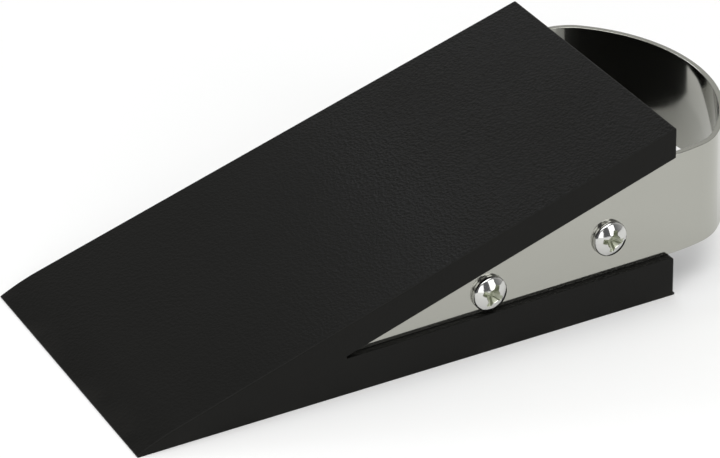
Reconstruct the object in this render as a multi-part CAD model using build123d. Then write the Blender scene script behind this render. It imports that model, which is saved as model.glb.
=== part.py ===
from build123d import *
import math
import os

os.makedirs("parts", exist_ok=True)

# Floor door holder: a moulded rubber wedge carried by a bent steel strap.
# Frame: millimetres, +Z up, the floor is z = 0, +X runs from the thin tip to
# the handle loop, and the origin is midway between the two on the floor.  The
# object is symmetric about y = 0.  It is drawn with the tip at x = 0 and moved
# to that origin at the end.

# ---------------------------------------------------------------- wedge
LENGTH = 130.0          # tip to rear face, at the floor
WIDTH = 70.0            # across the base
RAMP_Z0 = 1.32          # height of the straight ramp carried on to the tip
RAMP_Z1 = 41.66         # height of the ramp carried on to x = LENGTH
NOSE_LEN = 9.0          # the ramp bends down over this length
NOSE_DROP = 1.0         # and ends this much below the straight ramp
SIDE_LEAN = 0.0316      # mould draft of the sides, mm per mm of height
REAR_LEAN = 0.0106      # mould draft of the rear face
BASE_SLAB = 9.50        # thickness of the lower slab at the rear
LEDGE_SLOPE = 0.0113    # the slab thins towards the tip, mm per mm
TOP_SLAB = 7.34         # vertical thickness of the upper slab
EDGE_R = 0.40           # rounding of the outer edges
LIP_R = 0.90            # rounding of the lower slab's rear top edge
MOUTH_R = 0.25          # rounding of the recesses' outer edges
RECESS_TIP_R = 0.30     # rounding at the front end of each side recess
FLASH_OUT = 0.25        # thin moulding seam along the base's rear edge
FLASH_H = 0.45

# ---------------------------------------------------------------- strap
STRAP_T = 1.30          # sheet thickness
STRAP_W = 33.05         # half width over the side plates, at the ledge
STRAP_LEAN = 0.045      # the plates lean in as they rise
STRAP_Z = 9.05          # the height at which STRAP_W is measured
STRAP_TOP = 33.80       # height of the horizontal rim
PLATE_GAP = 0.25        # plate's sloped edge to the upper slab
PLATE_TIP_R = 0.45
BEND_X = 129.75         # the bend starts here
BEND_RA = 45.0          # soft first bend
BEND_A0 = 11.5          # degrees turned by the soft bend
BEND_R1 = 13.3          # tight bend
BEND_A1 = 40.0          # degrees turned at the end of the tight bend
STRAP_EDGE = 0.15       # broken edge of the rim

# ---------------------------------------------------------------- screws
SCREW_FRONT = (83.92, 13.42)   # x, z on the plate's outer face
SCREW_REAR = (113.95, 18.12)
HEAD_D = 8.2
HEAD_H = 2.45
CROWN_R = 6.6           # radius of the head's crown
RECESS_L = 6.4          # cross recess, carried on to the top of the crown
RECESS_W = 1.25
SHANK_D = 4.2
CORE_D = 3.0
PITCH = 1.4
SCREW_LEN = 16.0
CLEAR_D = 4.6

RAMP = (RAMP_Z1 - RAMP_Z0) / LENGTH


def ramp(x):
    return RAMP_Z0 + RAMP * x


def under(x):
    return ramp(x) - TOP_SLAB


def ledge(x):
    """Top of the lower slab, on which the strap's straight lower edge rests."""
    return BASE_SLAB - LEDGE_SLOPE * (LENGTH - x)


def strap_y(z):
    """Outer face of the near and far plates at height z."""
    return STRAP_W - STRAP_LEAN * (z - STRAP_Z)


def prism_xz(points, half, rounds=()):
    """Closed polygon in the XZ plane, carried to both sides of y = 0."""
    face = make_face(Plane.XZ * Polyline(*points, close=True))
    for (px, pz), r in rounds:
        v = min(face.vertices(), key=lambda q: (q.X - px) ** 2 + (q.Z - pz) ** 2)
        face = fillet(v, r)
    return extrude(face, amount=half, both=True)


def trapezoid_x(half_at, x0, x1, z0, z1):
    """Block along X whose half width is half_at(z)."""
    pts = [(-half_at(z0), z0), (half_at(z0), z0), (half_at(z1), z1), (-half_at(z1), z1)]
    face = make_face(Plane.YZ.offset(x0) * Polyline(*pts, close=True))
    return extrude(face, amount=x1 - x0)


# ---------------------------------------------------------------- wedge body
zc = (RAMP_Z0 + RAMP * LENGTH) / (1 + RAMP * REAR_LEAN)
xc = LENGTH - REAR_LEAN * zc
zn = ramp(NOSE_LEN)
z0 = RAMP_Z0 - NOSE_DROP
outline = Curve() + [
    Polyline((0, z0), (0, 0), (LENGTH, 0), (xc, zc), (NOSE_LEN, zn)),
    Bezier((NOSE_LEN, zn), (NOSE_LEN / 2, zn - RAMP * NOSE_LEN / 2), (0, z0)),
]
raw = extrude(make_face(Plane.XZ * outline), amount=WIDTH, both=True)
body = raw & trapezoid_x(lambda z: WIDTH / 2 - SIDE_LEAN * z, -5, LENGTH + 5, -5, 60)


def pick(shape, test):
    return [e for e in shape.edges() if test(e)]


def near(a, b, tol=0.02):
    return abs(a - b) < tol


# rounding of the ramp's long edges, the rear top edge and the rear corners
def outer_edge(e):
    c = e.center()
    b = e.bounding_box()
    long_ramp = b.size.X > 50 and b.size.Z > 10
    rear_top = b.size.Y > 50 and c.X > LENGTH - 1 and c.Z > 30
    rear_side = b.size.Z > 30 and b.size.X < 2
    return long_ramp or rear_top or rear_side


body = fillet(pick(body, outer_edge), EDGE_R)

# the side recesses: a triangle between the two slabs, open at the rear, on
# each side of a central core; the lower slab's rear top edge is rounded
def meet(up):
    """x where the ledge meets a line up mm below the ramp."""
    return (BASE_SLAB - LEDGE_SLOPE * LENGTH + up - RAMP_Z0) / (RAMP - LEDGE_SLOPE)


xv = meet(TOP_SLAB)
XE = LENGTH + 30
xl = LENGTH - REAR_LEAN * BASE_SLAB
q45 = LIP_R * (1 - math.sin(math.radians(45)))
mouth = Curve() + [
    Polyline((xl + 0.02, ledge(xl) - LIP_R), (XE, ledge(xl) - LIP_R), (XE, under(XE)),
             (xv, ledge(xv)), (xl - LIP_R, ledge(xl - LIP_R))),
    ThreePointArc((xl - LIP_R, ledge(xl - LIP_R)), (xl - q45, ledge(xl) - q45),
                  (xl + 0.02, ledge(xl) - LIP_R)),
]
mouth = make_face(Plane.XZ * mouth)
mouth = fillet(min(mouth.vertices(), key=lambda q: q.X), RECESS_TIP_R)
recess = extrude(mouth, amount=WIDTH, both=True)
core = trapezoid_x(lambda z: strap_y(z) - STRAP_T, 20, LENGTH + 40, -5, 70)
body = body - (recess - core)


# the recesses' long outer edges are lightly rounded
def mouth_edge(e):
    c = e.center()
    b = e.bounding_box()
    return (abs(c.Y) > 33.2 and b.size.X > 60 and b.size.Z < 40 and c.X > 60
            and c.Z > 5 and abs(c.Z - ramp(c.X)) > 3)


body = fillet(pick(body, mouth_edge), MOUTH_R)

# moulding seam along the base's rear edge
seam = Box(1.0 + FLASH_OUT, WIDTH - 0.1, FLASH_H, align=(Align.MAX, Align.CENTER, Align.MIN))
body = body + Pos(LENGTH + FLASH_OUT, 0, 0) * seam

# ---------------------------------------------------------------- handle strap
A0 = math.radians(BEND_A0)
A1 = math.radians(BEND_A1)
BEND_R2 = (STRAP_W - BEND_RA * (1 - math.cos(A0))
           - BEND_R1 * (math.cos(A0) - math.cos(A1))) / math.cos(A1)


def loop_wire(off, z):
    """Plan of the strap at height z, moved in by off: straight plates, a soft
    bend, a tight bend and a shallow crossbar, all tangent."""
    def polar(c, r, a):
        return (c[0] + r * math.sin(a), c[1] + r * math.cos(a))
    ca = (BEND_X, STRAP_W - BEND_RA)
    e1 = polar(ca, BEND_RA, A0)
    cb = (e1[0] - BEND_R1 * math.sin(A0), e1[1] - BEND_R1 * math.cos(A0))
    e2 = polar(cb, BEND_R1, A1)
    cc = (e2[0] - BEND_R2 * math.sin(A1), e2[1] - BEND_R2 * math.cos(A1))
    ra, r1, r2 = BEND_RA - off, BEND_R1 - off, BEND_R2 - off
    p = lambda q, s=1: (q[0], s * q[1], z)
    y = STRAP_W - off
    x0 = 30.0
    am = (A0 + A1) / 2
    return Wire([
        Edge.make_line((x0, -y, z), (x0, y, z)),
        Edge.make_line((x0, y, z), (BEND_X, y, z)),
        Edge.make_three_point_arc(p(polar(ca, ra, 0)), p(polar(ca, ra, A0 / 2)), p(polar(ca, ra, A0))),
        Edge.make_three_point_arc(p(polar(cb, r1, A0)), p(polar(cb, r1, am)), p(polar(cb, r1, A1))),
        Edge.make_three_point_arc(p(polar(cc, r2, A1)), (cc[0] + r2, 0, z), p(polar(cc, r2, A1), -1)),
        Edge.make_three_point_arc(p(polar(cb, r1, A1), -1), p(polar(cb, r1, am), -1), p(polar(cb, r1, A0), -1)),
        Edge.make_three_point_arc(p(polar(ca, ra, A0), -1), p(polar(ca, ra, A0 / 2), -1), p(polar(ca, ra, 0), -1)),
        Edge.make_line((BEND_X, -y, z), (x0, -y, z)),
    ])


LOOP_END = (BEND_X + (BEND_RA - BEND_R1) * math.sin(A0)
            + (BEND_R1 - BEND_R2) * math.sin(A1) + BEND_R2)
LOOP_END -= STRAP_LEAN * (ledge(LOOP_END) - STRAP_Z)   # the crossbar's outer lower edge


def loop_solid(off):
    lo, hi = STRAP_Z - 2, STRAP_TOP + 1
    return Solid.make_loft([loop_wire(off + STRAP_LEAN * (lo - STRAP_Z), lo),
                            loop_wire(off + STRAP_LEAN * (hi - STRAP_Z), hi)], ruled=True)


xt = meet(TOP_SLAB + PLATE_GAP)
xr = (STRAP_TOP + TOP_SLAB + PLATE_GAP - RAMP_Z0) / RAMP
xf = LENGTH + 60
plate = prism_xz([(xt, ledge(xt)), (xf, ledge(xf)), (xf, STRAP_TOP), (xr, STRAP_TOP)],
                 WIDTH, rounds=[((xt, ledge(xt)), PLATE_TIP_R), ((xr, STRAP_TOP), 3.0)])
strap = (loop_solid(0) - loop_solid(STRAP_T)) & plate

# every cut edge of the sheet is lightly broken
rim = [e for e in strap.edges() if e.length > 1.6]
strap = fillet(rim, STRAP_EDGE)


# ---------------------------------------------------------------- screws
def screw(turn):
    """Pan-head self-tapping screw, head upwards, bearing face at z = 0."""
    r = HEAD_D / 2
    # a spherical crown, then a tighter arc tangent to it and to the side
    rc = 0.90 * r
    a = math.asin(rc / CROWN_R)
    rho = (r - rc) / (1 - math.sin(a))
    crown = lambda t: (CROWN_R * math.sin(t), HEAD_H - CROWN_R * (1 - math.cos(t)))
    xk, zk = rc - rho * math.sin(a), crown(a)[1] - rho * math.cos(a)
    corner = lambda t: (xk + rho * math.sin(t), zk + rho * math.cos(t))
    head = [
        ThreePointArc(crown(0), crown(a / 2), crown(a)),
        ThreePointArc(crown(a), corner((a + math.pi / 2) / 2), (r, zk)),
    ]
    pts = [(r, zk), (r, 0.12), (r - 0.12, 0), (SHANK_D / 2 - 0.15, 0), (SHANK_D / 2 - 0.15, -STRAP_T - 0.3)]
    z = -STRAP_T - 0.6
    pts.append((CORE_D / 2, z))
    while z - PITCH > -SCREW_LEN + 2.6:
        pts += [(CORE_D / 2, z - 0.45), (SHANK_D / 2, z - 0.85), (SHANK_D / 2, z - 0.95), (CORE_D / 2, z - PITCH)]
        z -= PITCH
    pts += [(CORE_D / 2, -SCREW_LEN + 2.4), (0.25, -SCREW_LEN), (0, -SCREW_LEN)]
    lines = [Polyline(*pts), Line((0, -SCREW_LEN), (0, HEAD_H))]
    prof = make_face(Plane.XZ * (Curve() + head + lines))
    s = revolve(prof, Axis.Z, 360)
    # cross recess: two tapering slots and a centre cone
    def slot(a):
        top = Plane.XY.offset(HEAD_H + 0.05) * Rot(0, 0, a) * RectangleRounded(RECESS_L, RECESS_W, 0.30)
        low = Plane.XY.offset(HEAD_H - 1.85) * Rot(0, 0, a) * RectangleRounded(2.5, 0.85, 0.24)
        return loft([top, low])
    cone = Pos(0, 0, HEAD_H + 0.05) * Cone(0.55, 1.75, 2.1, align=(Align.CENTER, Align.CENTER, Align.MAX))
    s = s - slot(0) - slot(90) - cone
    return Rot(0, 0, turn) * s


def place(s, x, z, side):
    """Stand a screw on the outer face of the plate on side -1 or +1."""
    tilt = math.degrees(math.atan(STRAP_LEAN))
    y = side * strap_y(z)
    if side < 0:
        return Pos(x, y, z) * Rot(90 - tilt, 0, 0) * s
    return Pos(x, y, z) * Rot(-90 + tilt, 0, 0) * s


screws = {
    "screw_near_front": place(screw(-27), *SCREW_FRONT, -1),
    "screw_near_rear": place(screw(-12), *SCREW_REAR, -1),
    "screw_far_front": place(screw(33), *SCREW_FRONT, 1),
    "screw_far_rear": place(screw(8), *SCREW_REAR, 1),
}

# clearance holes in the plates, and the rubber grown round each thread
for side in (-1, 1):
    for x, z in (SCREW_FRONT, SCREW_REAR):
        hole = Cylinder(CLEAR_D / 2, 8)
        strap = strap - place(hole, x, z, side)
for s in screws.values():
    body = body - s

parts = {"wedge_body": body, "handle_strap": strap}
parts.update(screws)
print("half length", LOOP_END / 2)
for name, shape in parts.items():
    shape = Pos(-LOOP_END / 2, 0, 0) * shape
    export_step(shape, "parts/%s.step" % name)
    b = shape.bounding_box()
    print(name, "solids", len(shape.solids()), "volume", round(shape.volume, 1),
          "box", [round(v, 2) for v in (*b.min, *b.max)], "valid", shape.is_valid)
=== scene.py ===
import math

import bpy
from mathutils import Matrix, Vector

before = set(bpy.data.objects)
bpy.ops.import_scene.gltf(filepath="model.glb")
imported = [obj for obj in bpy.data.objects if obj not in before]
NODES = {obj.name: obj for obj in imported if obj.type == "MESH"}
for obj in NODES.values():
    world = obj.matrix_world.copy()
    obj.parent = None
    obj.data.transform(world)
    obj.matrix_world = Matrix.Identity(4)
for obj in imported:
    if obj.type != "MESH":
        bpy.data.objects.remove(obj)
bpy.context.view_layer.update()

MM = 0.001

# ------------------------------------------------------------------ helpers


class Graph:
    """Small helper to write a material's nodes."""

    def __init__(self, name):
        self.mat = bpy.data.materials.new(name)
        self.mat.use_nodes = True
        self.t = self.mat.node_tree
        self.t.nodes.clear()
        self.out = self.t.nodes.new("ShaderNodeOutputMaterial")
        self.bsdf = self.t.nodes.new("ShaderNodeBsdfPrincipled")
        self.t.links.new(self.bsdf.outputs["BSDF"], self.out.inputs["Surface"])
        self.coord = self.t.nodes.new("ShaderNodeTexCoord").outputs["Object"]
        self.geo = self.t.nodes.new("ShaderNodeNewGeometry")

    def put(self, socket, value):
        if isinstance(value, bpy.types.NodeSocket):
            self.t.links.new(value, socket)
        else:
            socket.default_value = value

    def math(self, op, a, b=None, c=None, clamp=False):
        n = self.t.nodes.new("ShaderNodeMath")
        n.operation = op
        n.use_clamp = clamp
        for i, v in enumerate((a, b, c)):
            if v is not None:
                self.put(n.inputs[i], v)
        return n.outputs[0]

    def vmath(self, op, a, b=None):
        n = self.t.nodes.new("ShaderNodeVectorMath")
        n.operation = op
        self.put(n.inputs[0], a)
        if b is not None:
            self.put(n.inputs[1], b)
        return n.outputs["Value"] if op in ("DOT_PRODUCT", "LENGTH") else n.outputs["Vector"]

    def scale(self, v, xyz):
        return self.vmath("MULTIPLY", v, xyz)

    def noise(self, v, scale, detail=3.0, rough=0.55, distort=0.0):
        n = self.t.nodes.new("ShaderNodeTexNoise")
        self.put(n.inputs["Vector"], v)
        n.inputs["Scale"].default_value = scale
        n.inputs["Detail"].default_value = detail
        n.inputs["Roughness"].default_value = rough
        n.inputs["Distortion"].default_value = distort
        return n.outputs["Fac"]

    def voronoi(self, v, scale, feature="F1", smooth=0.5, out="Distance"):
        n = self.t.nodes.new("ShaderNodeTexVoronoi")
        n.feature = feature
        self.put(n.inputs["Vector"], v)
        n.inputs["Scale"].default_value = scale
        if feature == "SMOOTH_F1":
            n.inputs["Smoothness"].default_value = smooth
        return n.outputs[out]

    def remap(self, v, a0, a1, b0, b1, smooth=False):
        n = self.t.nodes.new("ShaderNodeMapRange")
        n.interpolation_type = "SMOOTHSTEP" if smooth else "LINEAR"
        n.clamp = True
        for i, x in enumerate((v, a0, a1, b0, b1)):
            self.put(n.inputs[i], x)
        return n.outputs[0]

    def mix(self, f, a, b):
        n = self.t.nodes.new("ShaderNodeMix")
        n.data_type = "RGBA"
        self.put(n.inputs[0], f)
        self.put(n.inputs[6], a if isinstance(a, bpy.types.NodeSocket) else (*a, 1))
        self.put(n.inputs[7], b if isinstance(b, bpy.types.NodeSocket) else (*b, 1))
        return n.outputs[2]

    def bump(self, height, strength, distance, normal=None):
        n = self.t.nodes.new("ShaderNodeBump")
        self.put(n.inputs["Height"], height)
        self.put(n.inputs["Strength"], strength)
        n.inputs["Distance"].default_value = distance
        if normal is not None:
            self.put(n.inputs["Normal"], normal)
        return n.outputs["Normal"]

    def set(self, **kw):
        for k, v in kw.items():
            self.put(self.bsdf.inputs[k.replace("_", " ")], v)


# ------------------------------------------------------------------ materials

RAMP_NORMAL = Vector((-0.31031, 0, 1)).normalized()


def rubber():
    g = Graph("rubber_black")
    p = g.coord
    # the leather-like grain is on the ramp; the moulded sides are smoother. The same mask also paints the ramp paler
    # than the sides: painted light on the top face
    facing = g.vmath("DOT_PRODUCT", g.geo.outputs["True Normal"], tuple(RAMP_NORMAL))
    ramp = g.remap(facing, 0.80, 0.97, 0.0, 1.0)
    warp = g.vmath("ADD", p, g.scale(g.vmath("ADD", g.t_noise_vec(p, 900.0), (-0.5, -0.5, -0.5)), (0.0005, 0.0005, 0.0005)))
    cells = g.voronoi(warp, 1350.0, "SMOOTH_F1", 0.30)
    cells2 = g.voronoi(warp, 2600.0, "F1")
    fine = g.noise(p, 5200.0, 3.0, 0.6)
    broad = g.noise(p, 55.0, 3.0, 0.55)
    patchy = g.remap(g.noise(p, 24.0, 2.0, 0.5), 0.35, 0.65, 0.6, 1.0)
    height = g.math("ADD", g.math("MULTIPLY", cells, 0.85), g.math("MULTIPLY", cells2, 0.35))
    height = g.math("ADD", height, g.math("MULTIPLY", fine, 0.25))
    # the grain is worn nearly smooth towards the tip, where doors rub
    worn = g.remap(g.axis(p, 0), -0.018, 0.024, 0.16, 1.0, True)
    strength = g.math("ADD", g.math("MULTIPLY", g.math("MULTIPLY", g.math("MULTIPLY", ramp, patchy), worn), 0.92), 0.08)
    bumped = g.bump(height, strength, 0.00027)
    # slow waviness of the moulding
    wave = g.noise(p, 38.0, 2.0, 0.5)
    bumped = g.bump(wave, 0.20, 0.00030, bumped)
    pit = g.remap(cells, 0.0, 0.55, 0.0, 1.0)
    # painted light: the ramp-facing top gets a paler tone than the sides, as if lit more strongly
    tone = g.mix(broad, (0.0044, 0.0044, 0.0038), (0.0056, 0.0055, 0.0048))
    tone = g.mix(ramp, g.mix(broad, (0.0086, 0.0086, 0.0078), (0.0104, 0.0103, 0.0093)), tone)
    tone = g.mix(g.math("MULTIPLY", pit, g.math("MULTIPLY", ramp, 0.30)), tone, (0.0072, 0.0072, 0.0066))
    # paler patches low on the sides, within 3.5 mm of the floor
    low = g.remap(g.axis(p, 2), 0.0, 0.0035, 0.35, 0.0, True)
    tone = g.mix(g.math("MULTIPLY", low, g.remap(broad, 0.45, 0.7, 0.0, 1.0)), tone, (0.022, 0.021, 0.019))
    rough = g.remap(broad, 0.3, 0.7, 0.30, 0.35)
    rough = g.math("ADD", rough, g.math("MULTIPLY", fine, 0.06))
    g.set(Base_Color=tone, Roughness=rough, Normal=bumped)
    g.bsdf.inputs["Specular IOR Level"].default_value = 0.07
    return g.mat


def axis(self, v, i):
    n = self.t.nodes.new("ShaderNodeSeparateXYZ")
    self.put(n.inputs[0], v)
    return n.outputs[i]


Graph.axis = axis


def t_noise_vec(self, v, scale):
    n = self.t.nodes.new("ShaderNodeTexNoise")
    self.put(n.inputs["Vector"], v)
    n.inputs["Scale"].default_value = scale
    n.inputs["Detail"].default_value = 1.0
    return n.outputs["Color"]


Graph.t_noise_vec = t_noise_vec


def steel():
    g = Graph("steel_polished")
    p = g.coord
    g.set(Metallic=1.0)
    # faint polishing lines run along the strip, with a haze of fine marks
    lines = g.noise(g.scale(p, (60.0, 60.0, 4200.0)), 1.0, 4.0, 0.6)
    haze = g.noise(p, 90.0, 4.0, 0.6)
    smudge = g.noise(p, 26.0, 3.0, 0.6)
    rough = g.remap(haze, 0.35, 0.7, 0.045, 0.085)
    rough = g.math("ADD", rough, g.math("MULTIPLY", g.remap(smudge, 0.52, 0.72, 0.0, 1.0), 0.05))
    rough = g.math("ADD", rough, g.math("MULTIPLY", lines, 0.025))
    tone = g.mix(smudge, (0.386, 0.385, 0.349), (0.409, 0.408, 0.371))
    n = g.bump(lines, 0.035, 0.00004)
    n = g.bump(g.noise(p, 42.0, 1.0, 0.5), 0.10, 0.00025, n)
    g.set(Base_Color=tone, Roughness=rough, Normal=n)
    return g.mat


def plating(name, centre, axis):
    """Bright plating; the cross recess is duller."""
    g = Graph("plating_" + name)
    g.set(Metallic=1.0)
    rel = g.vmath("SUBTRACT", g.coord, tuple(centre))
    up = g.vmath("DOT_PRODUCT", rel, tuple(axis))
    flat = g.vmath("SUBTRACT", rel, g.vmath_scale(tuple(axis), up))
    r = g.vmath("LENGTH", flat)
    # the dome's height at radius r, and how far below it a point is
    dome = g.math("SUBTRACT", 2.45 * MM, g.math("MULTIPLY", g.math("MULTIPLY", r, r), 77.0))
    below = g.math("SUBTRACT", dome, up)
    inside = g.math("MULTIPLY", g.remap(below, 0.05 * MM, 0.13 * MM, 0.0, 1.0), g.remap(r, 2.75 * MM, 2.9 * MM, 1.0, 0.0))
    fine = g.noise(g.coord, 1500.0, 3.0, 0.6)
    haze = g.noise(g.coord, 420.0, 3.0, 0.6)
    clean = g.mix(haze, (0.56, 0.56, 0.54), (0.63, 0.63, 0.61))
    dull = g.mix(fine, (0.42, 0.44, 0.35), (0.54, 0.56, 0.46))
    tone = g.mix(inside, clean, dull)
    rough = g.math("ADD", g.remap(haze, 0.35, 0.7, 0.07, 0.13), g.math("MULTIPLY", inside, 0.42))
    n = g.bump(fine, 0.10, 0.00002)
    g.set(Base_Color=tone, Roughness=rough, Normal=n)
    return g.mat


def vmath_scale(self, vec, s):
    n = self.t.nodes.new("ShaderNodeVectorMath")
    n.operation = "SCALE"
    n.inputs[0].default_value = vec
    self.put(n.inputs["Scale"], s)
    return n.outputs["Vector"]


Graph.vmath_scale = vmath_scale


def assign(obj, mat):
    obj.data.materials.clear()
    obj.data.materials.append(mat)


assign(NODES["wedge_body"], rubber())
assign(NODES["handle_strap"], steel())

LEAN = 0.045
TILT = math.atan(LEAN)
HALF_LEN = 79.12407795201584
for name, (x, z), side in (("screw_near_front", (83.92, 13.42), -1), ("screw_near_rear", (113.95, 18.12), -1),
                           ("screw_far_front", (83.92, 13.42), 1), ("screw_far_rear", (113.95, 18.12), 1)):
    y = side * (33.05 - LEAN * (z - 9.05))
    centre = Vector(((x - HALF_LEN) * MM, y * MM, z * MM))
    axis = Vector((0, side * math.cos(TILT), math.sin(TILT)))
    assign(NODES[name], plating(name, centre, axis))

# ------------------------------------------------------------------ studio

scene = bpy.context.scene
scene.view_settings.view_transform = "Standard"
scene.view_settings.look = "None"

world = bpy.data.worlds.new("studio_world")
scene.world = world
world.use_nodes = True
wt = world.node_tree
bg = wt.nodes["Background"]
tc = wt.nodes.new("ShaderNodeTexCoord")
sep = wt.nodes.new("ShaderNodeSeparateXYZ")
wt.links.new(tc.outputs["Generated"], sep.inputs[0])
# the room is paler behind the object and darker on the viewer's side
ramp = wt.nodes.new("ShaderNodeMapRange")
ramp.interpolation_type = "SMOOTHSTEP"
ramp.inputs[1].default_value = -0.75
ramp.inputs[2].default_value = 0.55
side = wt.nodes.new("ShaderNodeMath")
side.operation = "MULTIPLY_ADD"
wt.links.new(sep.outputs["X"], side.inputs[0])
side.inputs[1].default_value = 0.45
wt.links.new(sep.outputs["Y"], side.inputs[2])
wt.links.new(side.outputs[0], ramp.inputs[0])
room = wt.nodes.new("ShaderNodeMix")
room.data_type = "RGBA"
room.inputs[6].default_value = (0.15, 0.15, 0.158, 1)
room.inputs[7].default_value = (0.66, 0.66, 0.65, 1)
wt.links.new(ramp.outputs[0], room.inputs[0])
wt.links.new(room.outputs[2], bg.inputs["Color"])
bg.inputs["Strength"].default_value = 1.0


def area(name, pos, target, size, radiance, color=(1, 1, 1)):
    d = bpy.data.lights.new(name, "AREA")
    d.shape = "RECTANGLE"
    d.size, d.size_y = size
    d.energy = radiance * math.pi * size[0] * size[1]
    d.color = color
    o = bpy.data.objects.new(name, d)
    scene.collection.objects.link(o)
    o.location = pos
    o.rotation_euler = (Vector(target) - Vector(pos)).to_track_quat("-Z", "Y").to_euler()
    return o


area("light_top", (-0.22, -0.25, 1.35), (-0.05, 0, 0), (1.7, 1.2), 2.6)
area("light_back", (0.088, 0.288, 0.322), (0.025, -0.017, 0.032), (0.10, 0.08), 5.4, (0.90, 0.93, 1.0))
area("light_front_left", (-0.52, -1.10, 0.36), (0.02, -0.03, 0.02), (0.62, 0.84), 1.7)
area("light_front_right", (0.50, -1.10, 0.44), (0.02, -0.03, 0.02), (0.50, 0.84), 2.2)

# plain pale floor
me = bpy.data.meshes.new("floor")
S = 6.0
FZ = -0.00005          # just clear of the rubber's flat underside
me.from_pydata([(-S, -S, FZ), (S, -S, FZ), (S, S, FZ), (-S, S, FZ)], [], [(0, 1, 2, 3)])
floor = bpy.data.objects.new("floor", me)
scene.collection.objects.link(floor)
gf = Graph("floor_pale")
gf.set(Base_Color=gf.mix(gf.noise(gf.coord, 6.0, 2.0), (0.86, 0.86, 0.855), (0.88, 0.88, 0.875)), Roughness=0.75)
gf.bsdf.inputs["Specular IOR Level"].default_value = 0.2
me.materials.append(gf.mat)

# ------------------------------------------------------------------ camera

cam = bpy.data.cameras.new("camera")
cam.sensor_width = 36.0
cam.sensor_fit = "HORIZONTAL"
cam.lens = 3450.0 / 720.0 * 36.0
cam.clip_start = 0.01
cam.clip_end = 50.0
cam.dof.use_dof = False
cam_obj = bpy.data.objects.new("camera", cam)
scene.collection.objects.link(cam_obj)
right = Vector((0.877818971, -0.478992541, -2.25750809e-05))
down = Vector((-0.248514606, -0.455396521, -0.854900286))
fwd = Vector((0.409480579, 0.750453299, -0.518792348))
rot = Matrix((right, -down, -fwd)).transposed()
pos = Vector(((-236.82831169 - HALF_LEN) * MM, -563.71302444 * MM, 405.11441874 * MM))
cam_obj.matrix_world = Matrix.Translation(pos) @ rot.to_4x4()
scene.camera = cam_obj
